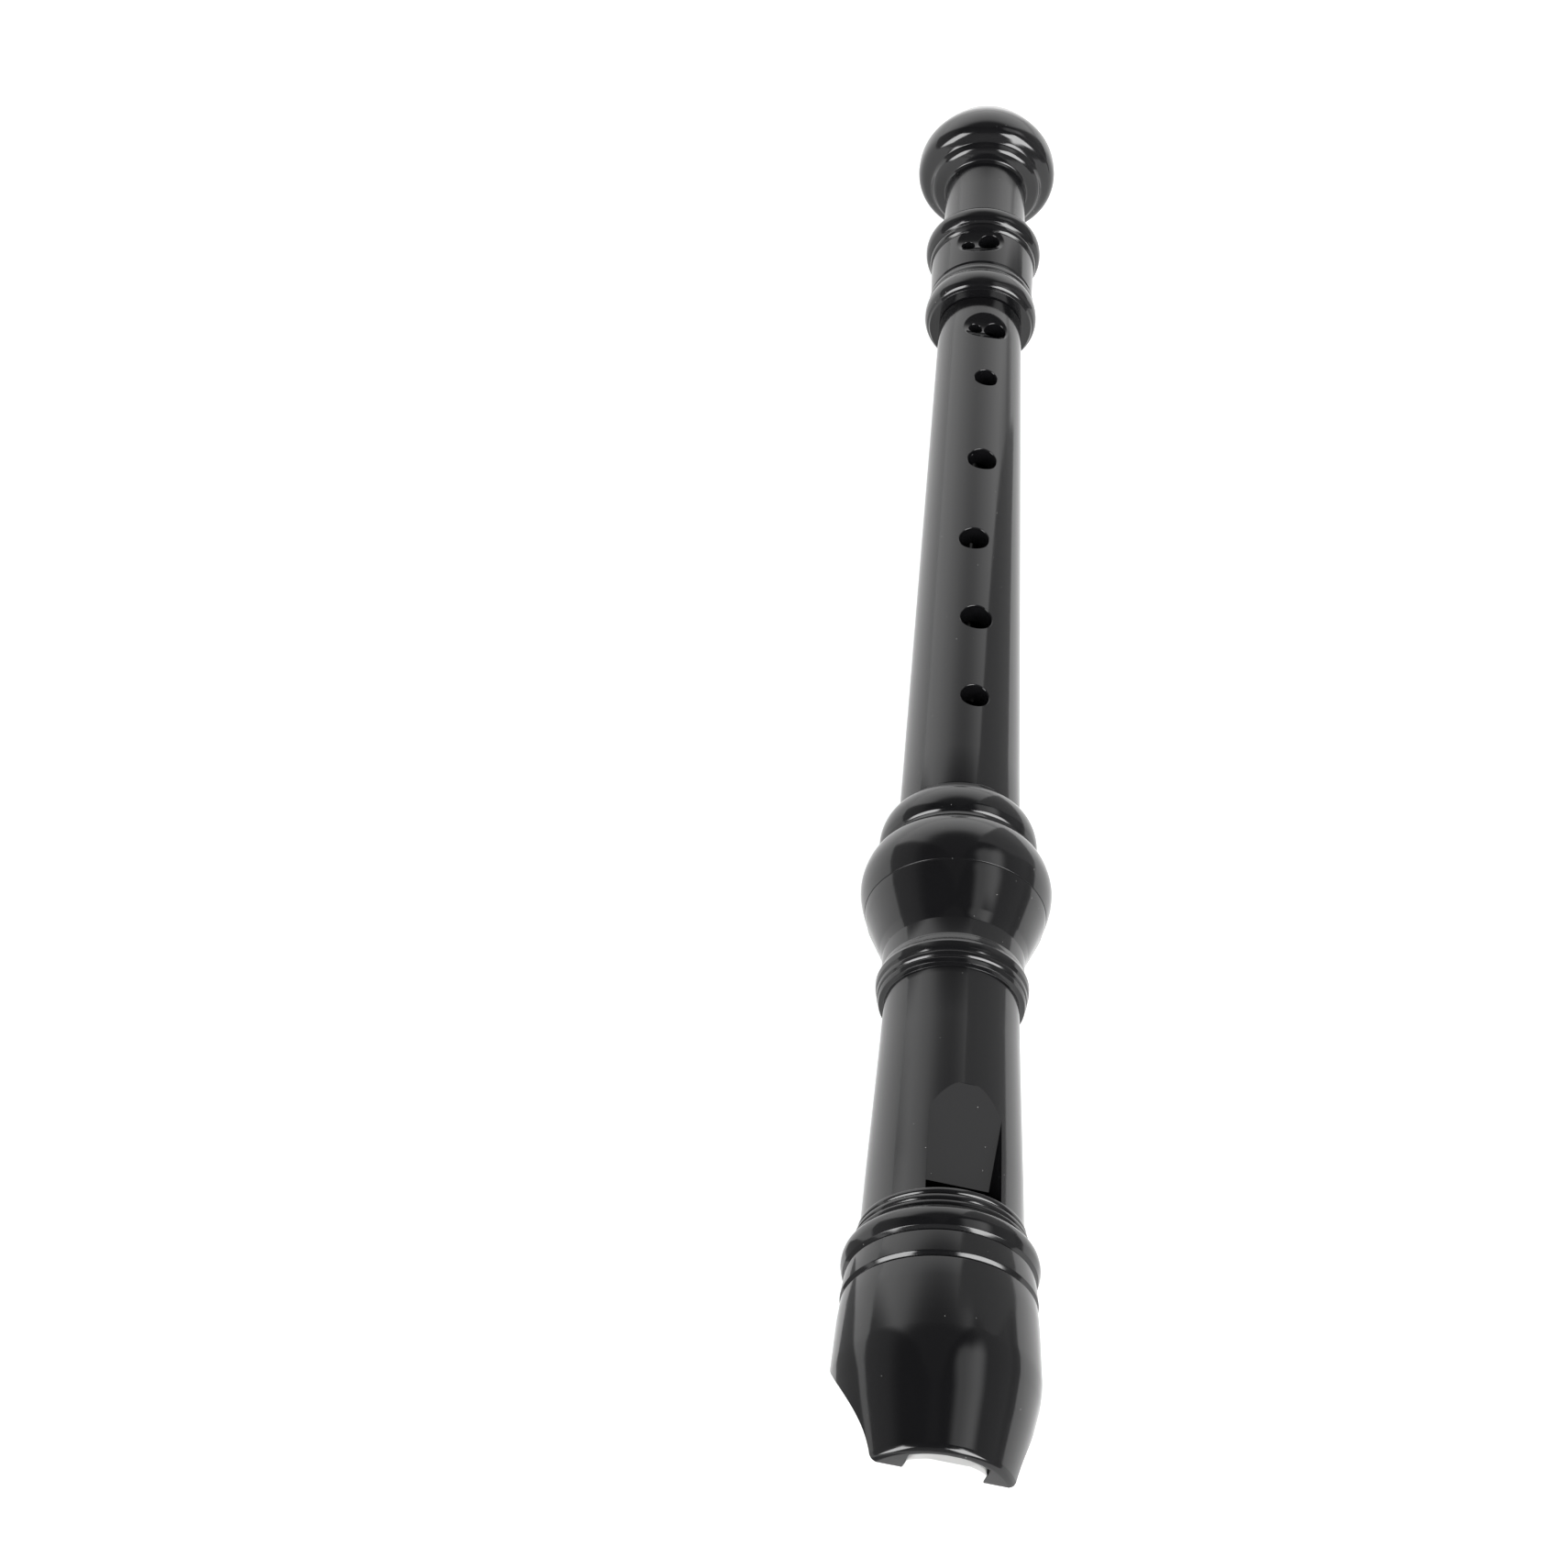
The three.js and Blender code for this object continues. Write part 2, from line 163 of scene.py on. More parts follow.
def lathe(name, loop, segs=224, soft=0.12):
    P, N = fine(loop, soft)
    m = len(P)
    verts, faces = [], []
    for k in range(segs):
        a = 2 * math.pi * k / segs
        for s, r in P:
            verts.append((AX + r * MM * math.sin(a), Y0 + s * MM, AZ + r * MM * math.cos(a)))
    for k in range(segs):
        k2 = (k + 1) % segs
        for i in range(m):
            j = (i + 1) % m
            faces.append((k * m + i, k * m + j, k2 * m + j, k2 * m + i))
    me = bpy.data.meshes.new(name)
    me.from_pydata(verts, [], faces)
    me.validate()
    ob = bpy.data.objects.new(name, me)
    bpy.context.scene.collection.objects.link(ob)
    bm = bmesh.new(); bm.from_mesh(me)
    bmesh.ops.recalc_face_normals(bm, faces=bm.faces)
    if bm.calc_volume(signed=True) < 0:
        bmesh.ops.reverse_faces(bm, faces=bm.faces)
    bm.to_mesh(me); bm.free()
    ob["_p"] = 0
    PROFILES[name] = (P, N)
    return ob


PROFILES = {}


def prism(name, outline, frame3, a, b):
    """outline in 2-D, mapped by frame3 (u, v, w axes) and drawn out from a to b along w; mm in the axis frame (x, station, z)."""
    u, v, w = [np.array(q, float) for q in frame3]
    vs = [u * p[0] + v * p[1] + w * a for p in outline] + [u * p[0] + v * p[1] + w * b for p in outline]
    n = len(outline)
    fs = [tuple(range(n - 1, -1, -1)), tuple(range(n, 2 * n))] + [(i, (i + 1) % n, n + (i + 1) % n, n + i) for i in range(n)]
    return body_mesh(name, vs, fs)


def body_mesh(name, vs, fs):
    me = bpy.data.meshes.new(name)
    me.from_pydata([(AX + p[0] * MM, Y0 + p[1] * MM, AZ + p[2] * MM) for p in vs], [], fs)
    bm = bmesh.new(); bm.from_mesh(me)
    bmesh.ops.recalc_face_normals(bm, faces=bm.faces)
    if bm.calc_volume(signed=True) < 0:
        bmesh.ops.reverse_faces(bm, faces=bm.faces)
    bm.to_mesh(me); bm.free()
    ob = bpy.data.objects.new(name, me)
    bpy.context.scene.collection.objects.link(ob)
    return ob


X_, S_, Z_ = (1, 0, 0), (0, 1, 0), (0, 0, 1)
def side_prism(name, outline, half): return prism(name, outline, (S_, Z_, X_), -half, half)
def end_prism(name, outline, s0, s1): return prism(name, outline, (X_, Z_, S_), s0, s1)
def plan_prism(name, outline, z0, z1): return prism(name, outline, (X_, S_, Z_), z0, z1)


def rod(name, s0, s1, r, segs=224):
    vs = [(r * math.sin(2 * math.pi * k / segs), s0, r * math.cos(2 * math.pi * k / segs)) for k in range(segs)]
    vs += [(x, s1, z) for x, _, z in vs]
    fs = [tuple(range(segs)), tuple(range(2 * segs - 1, segs - 1, -1))] + [(k, (k + 1) % segs, segs + (k + 1) % segs, segs + k) for k in range(segs)]
    return body_mesh(name, vs, fs)


def turned_by(ob, deg):
    m = Matrix.Translation((AX, 0, AZ)) @ Matrix.Rotation(math.radians(deg), 4, 'Y') @ Matrix.Translation((-AX, 0, -AZ))
    ob.data.transform(m)
    return ob


def hole_cutter(s, d, angle, offset=0.0, segs=96, lip=0.12):
    """Upright drill through the wall, straight up to its top; lip is not used."""
    rings = [(0.5, d / 2), (22.0, d / 2)]
    vs, fs = [], []
    for z, r in rings:
        vs += [(offset + r * math.cos(2 * math.pi * k / segs), s + r * math.sin(2 * math.pi * k / segs), z) for k in range(segs)]
    fs = [tuple(range(segs)), tuple(range(2 * segs - 1, segs - 1, -1))] + [(k, (k + 1) % segs, segs + (k + 1) % segs, segs + k) for k in range(segs)]
    return turned_by(body_mesh("cut", vs, fs), angle)


def scoop_cutter(sc, r, segs=220):
    a, t, s = sc["a"], sc["t"], sc["s"]
    rho = (a * a + t * t) / (2 * t)
    zc = r - t + rho
    out = [(s + rho * math.sin(2 * math.pi * k / segs), zc - rho * math.cos(2 * math.pi * k / segs)) for k in range(segs)]
    return side_prism("cut", out, 15)


def boolean(ob, cutter, op="DIFFERENCE"):
    mod = ob.modifiers.new("b", "BOOLEAN")
    mod.operation, mod.solver, mod.object = op, "EXACT", cutter
    dg = bpy.context.evaluated_depsgraph_get()
    me = bpy.data.meshes.new_from_object(ob.evaluated_get(dg))
    ob.modifiers.clear()
    old = ob.data
    ob.data = me
    bpy.data.meshes.remove(old)
    cm = cutter.data
    bpy.data.objects.remove(cutter)
    bpy.data.meshes.remove(cm)
    return ob


def finish_normals(ob, prof=None, sharp=32):
    """Smooth the mesh; on surfaces of revolution each corner gets the exact normal of the profile."""
    me = ob.data
    me.validate()
    for p in me.polygons: p.use_smooth = True
    me.set_sharp_from_angle(angle=math.radians(sharp))
    if prof is None: return ob
    P, N = prof
    P2, N2 = np.vstack([P, P[:1]]), np.vstack([N, N[:1]])
    nv = len(me.vertices)
    co = np.empty(nv * 3); me.vertices.foreach_get("co", co); co = co.reshape(-1, 3)
    X, S, Z = (co[:, 0] - AX) / MM, (co[:, 1] - Y0) / MM, (co[:, 2] - AZ) / MM
    Rr = np.hypot(X, Z)
    Q = np.stack([S, Rr], 1)
    best = np.full(nv, 1e9); nrm = np.zeros((nv, 2))
    for i in range(len(P)):
        a, b = P2[i], P2[i + 1]
        d = b - a; L2 = d @ d
        if L2 < 1e-12: continue
        t = np.clip(((Q - a) @ d) / L2, 0, 1)
        e = Q - (a + t[:, None] * d)
        dist = (e ** 2).sum(1)
        m = dist < best
        best[m] = dist[m]
        n = N2[i] * (1 - t[m][:, None]) + N2[i + 1] * t[m][:, None]
        nrm[m] = n / (np.linalg.norm(n, axis=1)[:, None] + 1e-12)
    on = best < 0.03 ** 2
    n3 = np.stack([nrm[:, 1] * X / (Rr + 1e-9), nrm[:, 0], nrm[:, 1] * Z / (Rr + 1e-9)], 1)
    nl = len(me.loops)
    vi = np.empty(nl, int); me.loops.foreach_get("vertex_index", vi)
    cn = np.empty(nl * 3); me.corner_normals.foreach_get("vector", cn); cn = cn.reshape(-1, 3)
    pn = np.empty(len(me.polygons) * 3); me.polygons.foreach_get("normal", pn); pn = pn.reshape(-1, 3)
    lt = np.empty(len(me.polygons), int); me.polygons.foreach_get("loop_total", lt)
    pl = np.repeat(np.arange(len(me.polygons)), lt)
    want = n3[vi]
    ok = on[vi] & ((want * pn[pl]).sum(1) > math.cos(math.radians(14)))
    cn[ok] = want[ok]
    slope = math.atan2(RAMP_END_H - LIP_H, RAMP_END - LIP)      # the window's ramp stays flat up to its sharp run-out
    pc = np.empty(len(me.polygons) * 3); me.polygons.foreach_get("center", pc); st = (pc.reshape(-1, 3)[:, 1] - Y0) / MM
    ramp = (st > LIP) & (st < RAMP_END) & (np.abs(pn[:, 1] + math.sin(slope)) < 0.01) & (pn[:, 2] > 0.8)
    cn[ramp[pl]] = pn[pl][ramp[pl]]
    me.normals_split_custom_set([tuple(v) for v in cn])
    return ob


# ---------------------------------------------------------------- smooth outer profiles
def runs(points, *corners):
    """Splines between the named corner stations, so that corners stay corners."""
    out, cur = [], [points[0]]
    for q in points[1:]:
        cur.append(q)
        if any(abs(q[0] - c) < 1e-6 for c in corners) or q is points[-1]:
            out += spline(cur) if len(cur) > 2 else cur
            cur = [q]
    return out


beak_out = runs(BEAK, 1.1, 32.6, 33.1, 33.7)
barrel_out = runs(BARREL, 38.6, 43.0, 47.0, 47.15, 50.5, 91.0, 93.5, 93.7, 94.5, 94.8, 95.1, 95.8, 96.1, 96.6, 97.7, 98.5, 98.8, 99.6, 100.1, 103.6)
collar_out = runs(COLLAR, 125.7, 126.0, 126.7, 127.1)
foot_out = runs(FOOT, 271.0, 271.3, 276.4, 277.7, 278.0, 278.9, 279.3, 288.6, 288.8, 289.2, 289.5, 291.2, 291.5, 295.8, 296.6, 313.9, 314.8, 315.1, 316.8, 317.1)

# ---------------------------------------------------------------- cutters shared by the head pieces
def revolved(name, pts, segs=240):
    vs = [(r * math.sin(2 * math.pi * k / segs), s, r * math.cos(2 * math.pi * k / segs)) for s, r in pts for k in range(segs)]
    m = len(pts)
    fs = [tuple(range(segs)), tuple(range(m * segs - 1, (m - 1) * segs - 1, -1))]
    fs += [(i * segs + k, i * segs + (k + 1) % segs, (i + 1) * segs + (k + 1) % segs, (i + 1) * segs + k) for i in range(m - 1) for k in range(segs)]
    return body_mesh(name, vs, fs)


def plan_taper(extra, s0, s1):
    half = lambda s: BLOCK_HALF_TIP + (BLOCK_HALF_END - BLOCK_HALF_TIP) * (s / BLOCK_END) + extra
    return [(-half(s0), s0), (half(s0), s0), (half(s1), s1), (-half(s1), s1)]


floor_at = lambda s: FLOOR_TIP + (FLOOR_END - FLOOR_TIP) * (s / BLOCK_END)
roof_at = lambda s: ROOF_TIP + (ROOF_END - ROOF_TIP) * (s / WINDOW_START)


def passage():
    a = plan_prism("cut", plan_taper(GAP, -3, WINDOW_START), 0, 20)
    b = side_prism("cut", [(-3, 0), (WINDOW_START, 0), (WINDOW_START, roof_at(WINDOW_START)), (-3, roof_at(-3))], 12)
    boolean(a, b, "INTERSECT")
    boolean(a, revolved("cut", [(-3.5, ROOF_TIP_R), (0, ROOF_TIP_R), (6, ROOF_TIP_R + 1.5), (WINDOW_START + 1, 16)]), "INTERSECT")
    return turned_by(a, HEAD_TURN)


def underside():
    out = spline(UNDERSIDE, 0.5) + [(29.6, -25), (-6, -25), (-6, 6.2)]
    return turned_by(side_prism("cut", out, 25), HEAD_TURN)


def window():
    a = end_prism("cut", [(-LIP_HALF, 2), (LIP_HALF, 2), (LIP_HALF, LIP_H), (CHEEK_HALF, 11.6), (CHEEK_HALF + 0.4, 16), (-CHEEK_HALF - 0.4, 16), (-CHEEK_HALF, 11.6), (-LIP_HALF, LIP_H)], WINDOW_START, RAMP_END + 1)
    b = side_prism("cut", [(WINDOW_START, 2), (LIP + 5, 6.0), (LIP, LIP_H - 0.12), (LIP, LIP_H), (RAMP_END, RAMP_END_H), (RAMP_END, 16), (WINDOW_START, 16)], 9)
    return turned_by(boolean(a, b, "INTERSECT"), HEAD_TURN)


# ---------------------------------------------------------------- rims of the tone holes
def tube_r(s):
    return TUBE[0][1] + (TUBE[1][1] - TUBE[0][1]) * (s - TUBE[0][0]) / (TUBE[1][0] - TUBE[0][0])


def rim_cutter(s, d, angle, offset, surf, soft=0.22, segs=112):
    """Upright hole whose rim is rounded off by soft mm where it meets the surface surf(x, s)."""
    a = d / 2
    steps = [(0.0, -1.0)] + [(1 - math.cos(t), -1 + math.sin(t)) for t in np.linspace(0, 1.15, 7)[1:]]
    vs, n = [], segs
    ring = lambda r, zf: [(offset + r * math.cos(2 * math.pi * k / n), s + r * math.sin(2 * math.pi * k / n), zf(offset + r * math.cos(2 * math.pi * k / n), s + r * math.sin(2 * math.pi * k / n))) for k in range(n)]
    vs += ring(a, lambda x, y: 0.5)
    for e, z in steps:
        vs += ring(a + e * soft, lambda x, y, z=z: surf(x, y) + z * soft)
    r_last, z_last = a + steps[-1][0] * soft, steps[-1][1] * soft
    vs += ring(r_last + 0.5, lambda x, y: surf(x, y) + z_last + 0.35)
    vs += ring(r_last + 0.5, lambda x, y: 22.0)
    m = len(vs) // n
    fs = [tuple(range(n)), tuple(range(m * n - 1, (m - 1) * n - 1, -1))]
    for i in range(m - 1):
        fs += [(i * n + k, i * n + (k + 1) % n, (i + 1) * n + (k + 1) % n, (i + 1) * n + k) for k in range(n)]
    return turned_by(body_mesh("cut", vs, fs), angle)


def scoop_surf(sc, r_of_s, k=0.16):
    a, t, s0 = sc["a"], sc["t"], sc["s"]
    rho = (a * a + t * t) / (2 * t)
    r0 = r_of_s(s0)
    def scoop(y): return r0 - t + rho - math.sqrt(max(rho * rho - (y - s0) ** 2, 0.0))
    def tube(x, y): return math.sqrt(max(r_of_s(y) ** 2 - x * x, 0.0))
    def final(x, y):
        T, S = tube(x, y), scoop(y)
        d = S - T
        if d < -k: return S
        if d < 0.5 * k: return T - (k - d) ** 2 / (4 * k)
        return T - k / 16 + 0.25 * (d - 0.5 * k)
    return scoop, tube, final, rho, r0


def scoop_mesh(sc, r_of_s, angle):
    """The scoop with a softly rounded brim."""
    scoop, tube, final, rho, r0 = scoop_surf(sc, r_of_s)
    a = sc["a"]
    xs = np.linspace(-1, 1, 121) * (r0 * 0.86)
    ys = sc["s"] + np.linspace(-1, 1, 121) * (a + 0.75)
    nx, ny = len(xs), len(ys)
    vs = [(x, y, final(x, y)) for x in xs for y in ys]
    vs += [(x, y, 22.0) for x in xs for y in ys]
    o = nx * ny
    fs = []
    for i in range(nx - 1):
        for j in range(ny - 1):
            q = (i * ny + j, (i + 1) * ny + j, (i + 1) * ny + j + 1, i * ny + j + 1)
            fs.append(q)
            fs.append(tuple(o + w for w in reversed(q)))
    for j in range(ny - 1):
        fs.append((j, j + 1, o + j + 1, o + j))
        fs.append(((nx - 1) * ny + j + 1, (nx - 1) * ny + j, o + (nx - 1) * ny + j, o + (nx - 1) * ny + j + 1))
    for i in range(nx - 1):
        fs.append(((i + 1) * ny, i * ny, o + i * ny, o + (i + 1) * ny))
        fs.append((i * ny + ny - 1, (i + 1) * ny + ny - 1, o + (i + 1) * ny + ny - 1, o + i * ny + ny - 1))
    return turned_by(body_mesh("cut", vs, fs), angle)


# ---------------------------------------------------------------- the six pieces
beak = lathe("Beak", [(0, 0.02), *beak_out, (37.85, 11.08), (29.1, 11.08), (28.8, 10.7), (28.8, 0.02)], 240, 0.08)
boolean(beak, passage())
boolean(beak, turned_by(rod("cut", -3, 60, BLOCK_R + GAP), HEAD_TURN))
boolean(beak, underside())
finish_normals(beak, PROFILES["Beak"])

a = plan_prism("WindwayBlock", plan_taper(0, 0.02, BLOCK_END), 0, 20)
boolean(a, side_prism("cut", [(0.02, 0), (BLOCK_END, 0), (BLOCK_END, FLOOR_END), (0.02, floor_at(0))], 12), "INTERSECT")
boolean(a, revolved("cut", [(-1, BLOCK_TIP_R), (0, BLOCK_TIP_R), (6, BLOCK_TIP_R + 1.6), (BLOCK_END + 1, 14)]), "INTERSECT")
block = boolean(a, rod("cut", 0.02, BLOCK_END, BLOCK_R, 96), "UNION")
turned_by(block, HEAD_TURN)
boolean(block, underside())
finish_normals(block)

barrel = lathe("HeadBarrel", [
    (SPIGOT_START, SPIGOT_R), (BEAK_END, SPIGOT_R), *barrel_out, (SEAM - 0.04, 13.6), (111, 13.0), (108.5, 12.1), (106.3, 11.1),
    (105, 10.6), (SEAM - 0.04, 10.6), (SEAM - 0.04, HEAD_BORE_R), (SPIGOT_START, HEAD_BORE_R)], 240, 0.06)
boolean(barrel, passage())
boolean(barrel, window())
finish_normals(barrel, PROFILES["HeadBarrel"])

collar = lathe("SocketCollar", [
    *collar_out, (HEAD_END, SOCKET_R), (SEAM + 0.04, SOCKET_R), (SEAM + 0.04, 10.6), (120.5, 10.6), (122.4, 11.4), (122.4, 13.0), (120.8, 14.1),
    (118.6, 14.5), (116, 14.2), (SEAM + 0.04, 13.6)], 240, 0.08)
finish_normals(collar, PROFILES["SocketCollar"])

middle = lathe("MiddleJoint", [
    (TENON_START, TENON_R - 0.5), (TENON_START + 0.8, TENON_R), (119.5, TENON_R), (119.8, TENON_R - 0.35), (122.2, TENON_R - 0.35), (122.5, TENON_R),
    (126.5, TENON_R), (126.8, TENON_R - 0.35), (129.2, TENON_R - 0.35), (129.5, TENON_R), (TUBE[0][0], TENON_R), *TUBE, (TUBE[1][0], FOOT_TENON_R),
    (FOOT_TENON_END - 0.6, FOOT_TENON_R), (FOOT_TENON_END, FOOT_TENON_R - 0.4), (FOOT_TENON_END, MID_BORE_R1), (TENON_START, MID_BORE_R0)], 240, 0.08)
for s, d, ang in [*HOLES, THUMB]:
    boolean(middle, rim_cutter(s, d, ang, 0.0, lambda x, y: math.sqrt(max(tube_r(y) ** 2 - x * x, 0.0))))
boolean(middle, scoop_mesh(SCOOP6, tube_r, 0.0))
f6 = scoop_surf(SCOOP6, tube_r)[2]
for x, s, d in SCOOP6["holes"]:
    boolean(middle, rim_cutter(s, d, 0.0, x * 0.72, f6, 0.12, 80))
finish_normals(middle, PROFILES["MiddleJoint"])

foot_r = lambda s: 10.4 + 0.2 * (s - 279.4) / 10.8
foot = lathe("FootJoint", [
    *foot_out, (LENGTH, 9.7), *spline([(327.5, 9.1), (325, 8.1), (322, 7.2), (318, 6.0), (312, 5.2), (300, 4.7), (281.3, 4.95)], 0.5),
    (281.3, FOOT_SOCKET_R), (FOOT_START, FOOT_SOCKET_R)], 240, 0.06)
boolean(foot, scoop_mesh(SCOOP7, foot_r, FOOT_TURN))
f7 = scoop_surf(SCOOP7, foot_r)[2]
for x, s, d in SCOOP7["holes"]:
    boolean(foot, rim_cutter(s, d, FOOT_TURN, x * 0.8, f7, 0.12, 80))
finish_normals(foot, PROFILES["FootJoint"])


# ---------------------------------------------------------------- finishes
def node(nt, kind, **kw):
    n = nt.nodes.new(kind)
    for k, v in kw.items():
        if hasattr(n, k) and k not in n.inputs: setattr(n, k, v)
    return n


def plastic(name, base, rough, dust):
    """Moulded gloss plastic: fine wear in the gloss, sparse dust specks."""
    m = bpy.data.materials.new(name)
    m.use_nodes = True
    nt = m.node_tree
    b = nt.nodes["Principled BSDF"]
    b.inputs["IOR"].default_value = 1.5
    tc = nt.nodes.new("ShaderNodeTexCoord")
    # wear: broad patches and fine scratches along the tube
    n1 = nt.nodes.new("ShaderNodeTexNoise"); n1.inputs["Scale"].default_value = 70; n1.inputs["Detail"].default_value = 5
    mp = nt.nodes.new("ShaderNodeMapping"); mp.inputs["Scale"].default_value = (1800, 130, 1800)
    n2 = nt.nodes.new("ShaderNodeTexNoise"); n2.inputs["Scale"].default_value = 1.0; n2.inputs["Detail"].default_value = 3
    nt.links.new(tc.outputs["Object"], n1.inputs["Vector"])
    nt.links.new(tc.outputs["Object"], mp.inputs["Vector"])
    nt.links.new(mp.outputs["Vector"], n2.inputs["Vector"])
    mx = nt.nodes.new("ShaderNodeMath"); mx.operation = "MULTIPLY"
    nt.links.new(n1.outputs["Fac"], mx.inputs[0]); nt.links.new(n2.outputs["Fac"], mx.inputs[1])
    mr = nt.nodes.new("ShaderNodeMapRange")
    mr.inputs["From Min"].default_value, mr.inputs["From Max"].default_value = 0.12, 0.42
    mr.inputs["To Min"].default_value, mr.inputs["To Max"].default_value = rough * 0.85, rough * 1.35
    nt.links.new(mx.outputs[0], mr.inputs["Value"])
    nt.links.new(mr.outputs["Result"], b.inputs["Roughness"])
    # dust specks
    vo = nt.nodes.new("ShaderNodeTexVoronoi"); vo.inputs["Scale"].default_value = 600
    nt.links.new(tc.outputs["Object"], vo.inputs["Vector"])
    sp = nt.nodes.new("ShaderNodeMapRange"); sp.interpolation_type = "SMOOTHSTEP"
    sp.inputs["From Min"].default_value, sp.inputs["From Max"].default_value = 0.055, 0.025
    nt.links.new(vo.outputs["Distance"], sp.inputs["Value"])
    wn = nt.nodes.new("ShaderNodeSeparateColor")
    nt.links.new(vo.outputs["Color"], wn.inputs[0])
    th = nt.nodes.new("ShaderNodeMapRange")
    th.inputs["From Min"].default_value, th.inputs["From Max"].default_value = 1 - dust, 1.0
    nt.links.new(wn.outputs[0], th.inputs["Value"])
    mm = nt.nodes.new("ShaderNodeMath"); mm.operation = "MULTIPLY"
    nt.links.new(sp.outputs["Result"], mm.inputs[0]); nt.links.new(th.outputs["Result"], mm.inputs[1])
    mix = nt.nodes.new("ShaderNodeMix"); mix.data_type = "RGBA"
    mix.inputs[6].default_value = (*base, 1)
    mix.inputs[7].default_value = (0.42, 0.42, 0.41, 1)
    nt.links.new(mm.outputs[0], mix.inputs[0])
    nt.links.new(mix.outputs[2], b.inputs["Base Color"])
    return m


black = plastic("BlackPlastic", (0.0045, 0.0045, 0.005), 0.11, 0.40)
white = plastic("WhitePlastic", (0.50, 0.50, 0.495), 0.35, 0.02)

for ob, body, nodes, mat, slot in (
    (beak, "head", ["beak"], black, "black_plastic"),
    (block, "head", ["windway_block"], white, "white_plastic"),
    (barrel, "head", ["head_barrel"], black, "black_plastic"),
    (collar, "head", ["socket_collar"], black, "black_plastic"),
    (middle, "middle", ["middle_joint"], black, "black_plastic"),
    (foot, "foot", ["foot_joint"], black, "black_plastic"),
):
    ob.data.materials.clear()
    ob.data.materials.append(mat)
    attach(ob, body)
    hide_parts(*nodes)

# ---------------------------------------------------------------- floor, touching the bulb and the bell
y_a, z_a = Y0 + 119.2 * MM, AZ - 16.75 * MM
y_b, z_b = Y0 + 321.2 * MM, AZ - 14.55 * MM
slope = (z_b - z_a) / (y_b - y_a)
z_at = lambda y: z_a + (y - y_a) * slope - 0.00003
me = bpy.data.meshes.new("Floor")
F, T = 4.0, 0.02
cs = [(-F, -F), (F, -F), (F, F), (-F, F)]
me.from_pydata([(x, y, z_at(y)) for x, y in cs] + [(x, y, z_at(y) - T) for x, y in cs], [],
               [(0, 1, 2, 3), (7, 6, 5, 4), (0, 4, 5, 1), (1, 5, 6, 2), (2, 6, 7, 3), (3, 7, 4, 0)])
floor = bpy.data.objects.new("Floor", me)
bpy.context.scene.collection.objects.link(floor)
fm = bpy.data.materials.new("FloorPaper"); fm.use_nodes = True
fb = fm.node_tree.nodes["Principled BSDF"]
fb.inputs["Base Color"].default_value = (0.42, 0.42, 0.42, 1)
fb.inputs["Roughness"].default_value = 0.9
fb.inputs["Specular IOR Level"].default_value = 0.1
fb.inputs["Emission Color"].default_value = (1, 1, 1, 1)
fb.inputs["Emission Strength"].default_value = 0.80
me.materials.append(fm)

# studio cards, only seen as reflections in the gloss
def reflected_only(name, verts, faces, level):
    mesh = bpy.data.meshes.new(name)
    mesh.from_pydata(verts, [], faces)
    o = bpy.data.objects.new(name, mesh)
    bpy.context.scene.collection.objects.link(o)
    m = bpy.data.materials.new(name); m.use_nodes = True
    b = m.node_tree.nodes["Principled BSDF"]
    b.inputs["Base Color"].default_value = (0.02, 0.02, 0.02, 1)
    b.inputs["Roughness"].default_value = 1.0
    b.inputs["Emission Color"].default_value = (1, 1, 1, 1)
    b.inputs["Emission Strength"].default_value = level
    mesh.materials.append(m)
    o.visible_camera = o.visible_diffuse = o.visible_shadow = o.visible_transmission = False
    return o


BOX_FACES = [(3, 2, 1, 0), (4, 5, 6, 7), (0, 1, 5, 4), (1, 2, 6, 5), (2, 3, 7, 6), (3, 0, 4, 7)]


def card(name, x0, y0, x1, y1, h0, h1, level):
    nx, ny = y1 - y0, -(x1 - x0)
    k = 0.004 / math.hypot(nx, ny)
    base = [(x0, y0), (x1, y1), (x1 + nx * k, y1 + ny * k), (x0 + nx * k, y0 + ny * k)]
    return reflected_only(name, [(x, y, h0) for x, y in base] + [(x, y, h1) for x, y in base], BOX_FACES, level)


def slab(name, a, b, level):
    base = [(a[0], a[1]), (b[0], a[1]), (b[0], b[1]), (a[0], b[1])]
    return reflected_only(name, [(x, y, a[2]) for x, y in base] + [(x, y, b[2]) for x, y in base], BOX_FACES, level)


card("GreyCard", 0.080, 0.156, 0.50, 0.25, 0.004, 0.40, 0.45)
slab("DarkSlab", (-0.14, -0.30, 0.001), (-0.030, -0.108, 0.003), 0.30)

# ---------------------------------------------------------------- studio light round the object
world = bpy.data.worlds.new("Studio"); bpy.context.scene.world = world
world.use_nodes = True
nt = world.node_tree
nt.nodes.clear()
out = nt.nodes.new("ShaderNodeOutputWorld"); bg = nt.nodes.new("ShaderNodeBackground")
nt.links.new(bg.outputs[0], out.inputs[0])
tc = nt.nodes.new("ShaderNodeTexCoord"); sx = nt.nodes.new("ShaderNodeSeparateXYZ")
nt.links.new(tc.outputs["Generated"], sx.inputs[0])


def math_(op, a, b=None, c=None):
    n = nt.nodes.new("ShaderNodeMath"); n.operation = op
    for i, v in enumerate((a, b, c)):
        if v is None: continue
        if isinstance(v, (int, float)): n.inputs[i].default_value = v
        else: nt.links.new(v, n.inputs[i])
    return n.outputs[0]


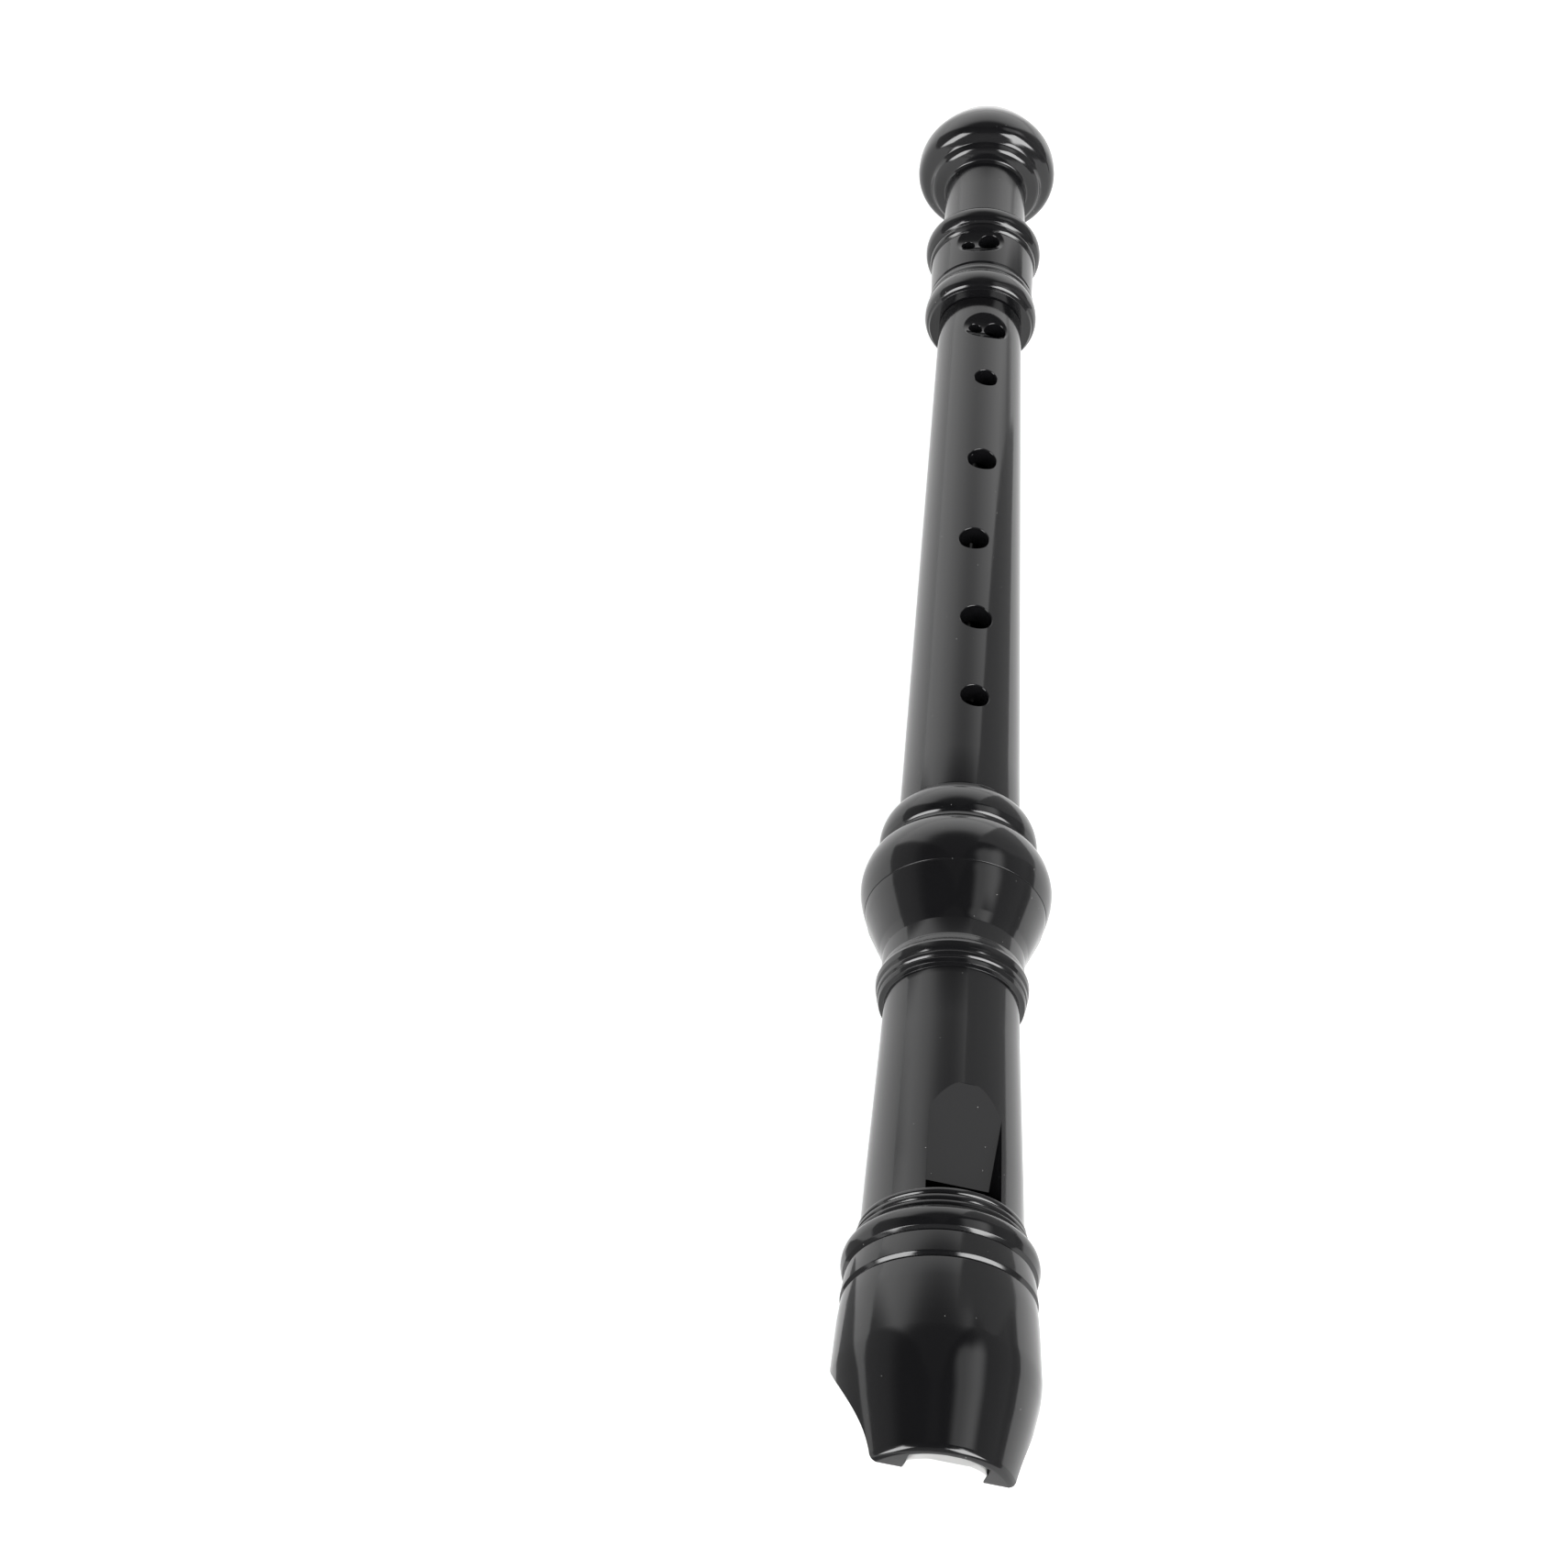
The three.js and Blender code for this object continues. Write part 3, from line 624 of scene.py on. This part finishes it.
def step_(v, a, b):
    """0 at a to 1 at b, smooth."""
    n = nt.nodes.new("ShaderNodeMapRange"); n.interpolation_type = "SMOOTHSTEP"
    n.inputs["From Min"].default_value, n.inputs["From Max"].default_value = a, b
    if a > b:
        n.inputs["From Min"].default_value, n.inputs["From Max"].default_value = b, a
        n.inputs["To Min"].default_value, n.inputs["To Max"].default_value = 1, 0
    nt.links.new(v, n.inputs["Value"])
    return n.outputs["Result"]


def band(v, a, b, soft): return math_("MULTIPLY", step_(v, a - soft, a + soft), step_(v, b + soft, b - soft))


wx, dy, wz = sx.outputs
lean = math.radians(9.2)      # the lights stand square to the camera, which is rolled by this much against the tone holes
dx = math_("ADD", math_("MULTIPLY", wx, math.cos(lean)), math_("MULTIPLY", wz, math.sin(lean)))
dz = math_("SUBTRACT", math_("MULTIPLY", wz, math.cos(lean)), math_("MULTIPLY", wx, math.sin(lean)))
el = math_("MULTIPLY", math_("ARCSINE", dz), 57.29578)
azf = math_("MULTIPLY", math_("ARCTAN2", dx, math_("MULTIPLY", dy, -1.0)), 57.29578)   # 0 towards -Y, + towards +X
azb = math_("MULTIPLY", math_("ARCTAN2", dx, dy), 57.29578)                             # 0 towards +Y, + towards +X


def curve_(v, pts, lo_=-10.0, hi_=90.0, top=2.0):
    n = nt.nodes.new("ShaderNodeMapRange")
    n.inputs["From Min"].default_value, n.inputs["From Max"].default_value = lo_, hi_
    nt.links.new(v, n.inputs["Value"])
    r = nt.nodes.new("ShaderNodeValToRGB"); r.color_ramp.interpolation = "LINEAR"
    els = r.color_ramp.elements
    while len(els) < len(pts): els.new(0.5)
    for e, (p, q) in zip(els, pts):
        e.position = (p - lo_) / (hi_ - lo_); c = q / top; e.color = (c, c, c, 1)
    nt.links.new(n.outputs["Result"], r.inputs["Fac"])
    return math_("MULTIPLY", r.outputs["Color"], top)


FAR = [(-10, 1.3), (-1.5, 1.3), (0, 0.75), (4, 1.0), (8, 1.4), (24, 1.4), (36, 1.12), (41, 0.88), (44, 0.64), (48, 0.34), (52, 0.17), (58, 0.08), (90, 0.05)]
DIM = [(-10, 0.4), (0, 0.3), (6, 0.42), (30, 0.34), (38, 0.28), (42, 0.19), (46, 0.12), (52, 0.06), (90, 0.04)]
far = math_("MULTIPLY", curve_(el, FAR), band(azb, -50, 40, 4.0))
box_l = math_("MULTIPLY", math_("MULTIPLY", band(azf, -64, -36, 2.0), band(el, 12, 48, 3.0)), 11.0)
box_r = math_("MULTIPLY", math_("MULTIPLY", band(azf, 24, 62, 2.0), band(el, 12, 48, 3.0)), 12.0)
spot = math_("MULTIPLY", math_("MULTIPLY", band(azb, 60, 88, 7.0), band(el, 38, 53, 6.0)), 1.5)
haze = math_("MULTIPLY", math_("MULTIPLY", band(azb, 55, 100, 6.0), band(el, 53, 67, 5.0)), 0.95)
total = math_("ADD", math_("ADD", math_("ADD", far, haze), curve_(el, DIM)), math_("ADD", box_l, math_("ADD", box_r, spot)))
bg.inputs["Color"].default_value = (1, 1, 1, 1)
nt.links.new(total, bg.inputs["Strength"])

# ---------------------------------------------------------------- camera
phi = math.radians(9.2)
turn_z = lambda v: (v[0] * math.cos(phi) - v[2] * math.sin(phi), v[1], v[0] * math.sin(phi) + v[2] * math.cos(phi))
right = Vector(turn_z((0.9978, 0.0654, -0.0105))).normalized()
fwd = Vector(turn_z((-0.0512, 0.6616, -0.7481))).normalized()
fwd = (fwd - right * fwd.dot(right)).normalized()
down = fwd.cross(right).normalized()
if down.z > 0: down = -down
eye = turn_z((0.0, -0.26324, 0.45202))
cam_data = bpy.data.cameras.new("Camera")
cam = bpy.data.objects.new("Camera", cam_data)
bpy.context.scene.collection.objects.link(cam)
up, back = -down, -fwd
cam.matrix_world = Matrix((
    (right.x, up.x, back.x, eye[0] + AX), (right.y, up.y, back.y, eye[1] + Y0 + 0.005), (right.z, up.z, back.z, eye[2] + AZ), (0, 0, 0, 1)))
cam_data.lens, cam_data.sensor_width, cam_data.sensor_fit = 76.85, 36.0, "HORIZONTAL"
cam_data.shift_x, cam_data.shift_y = -(860.18 - 855) / 1710, (861.73 - 855) / 1710
cam_data.clip_start, cam_data.clip_end = 0.01, 50
bpy.context.scene.camera = cam
bpy.context.scene.view_settings.view_transform = "Standard"
bpy.context.scene.view_settings.look = "None"
